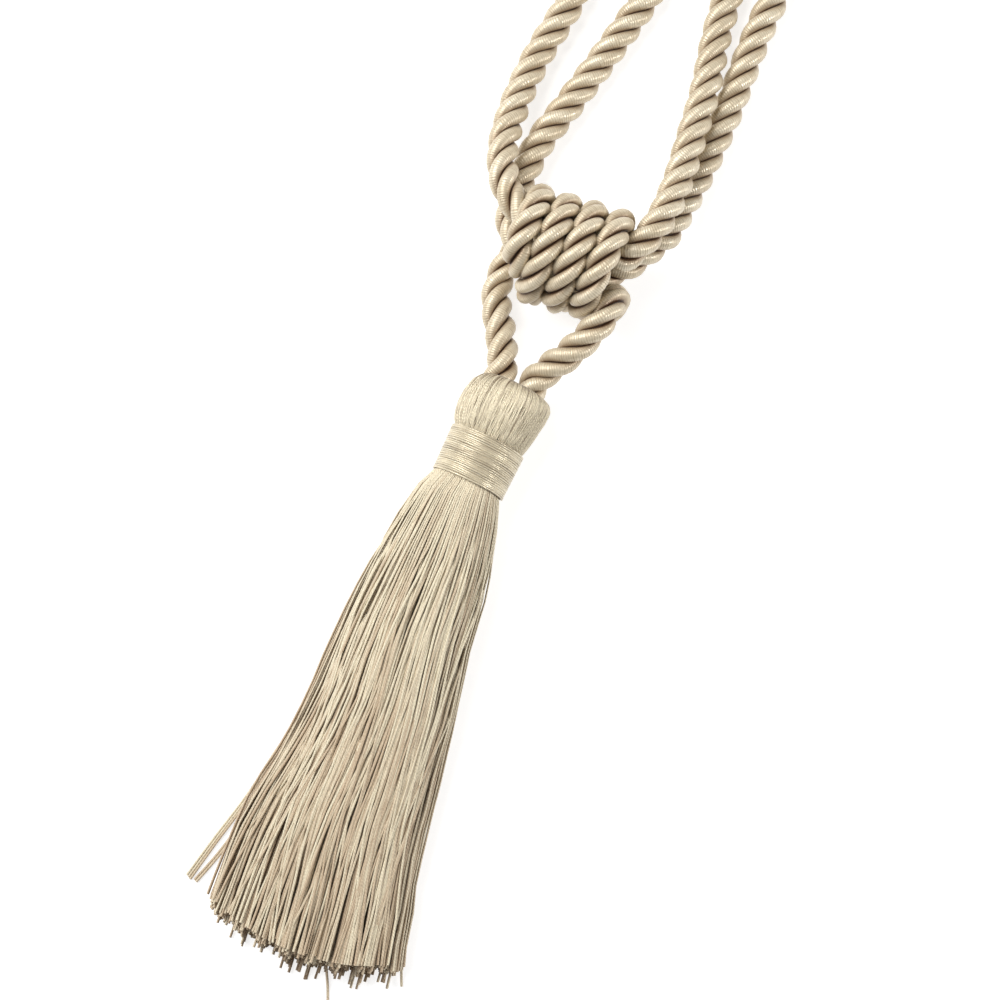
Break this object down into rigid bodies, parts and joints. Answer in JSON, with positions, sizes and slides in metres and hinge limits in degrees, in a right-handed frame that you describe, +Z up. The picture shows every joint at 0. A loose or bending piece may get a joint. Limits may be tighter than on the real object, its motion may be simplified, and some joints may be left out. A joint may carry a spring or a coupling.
{
  "type": "curtain tieback tassel",
  "caption": "Curtain tieback: a doubled twisted cord held by a wound barrel knot, with a thread tassel hanging from it by two legs of cord, lying flat",
  "frame": {"origin": "On the flat underside of the tassel's skirt, half way along it, in the surface that the tieback lies on", "axes": "+Z up from the surface, +Y from the skirt to the knot and the loops, +X to the right seen from above with the skirt towards the viewer"},
  "size_m": [0.0817, 0.4446, 0.0327],
  "materials": {
    "tassel_yarn": "pale khaki twisted rayon thread with a soft sheen",
    "binding_yarn": "fine satin thread wound close, with a sharp sheen",
    "cord_yarn": "three-strand twisted cord, each strand wrapped in satin thread"
  },
  "bodies": {
    "root": {"tassel_bundle": "tassel_yarn", "neck_binding": "binding_yarn", "hanger_cord": "cord_yarn", "doubled_cord": "cord_yarn"}
  },
  "joints": []
}
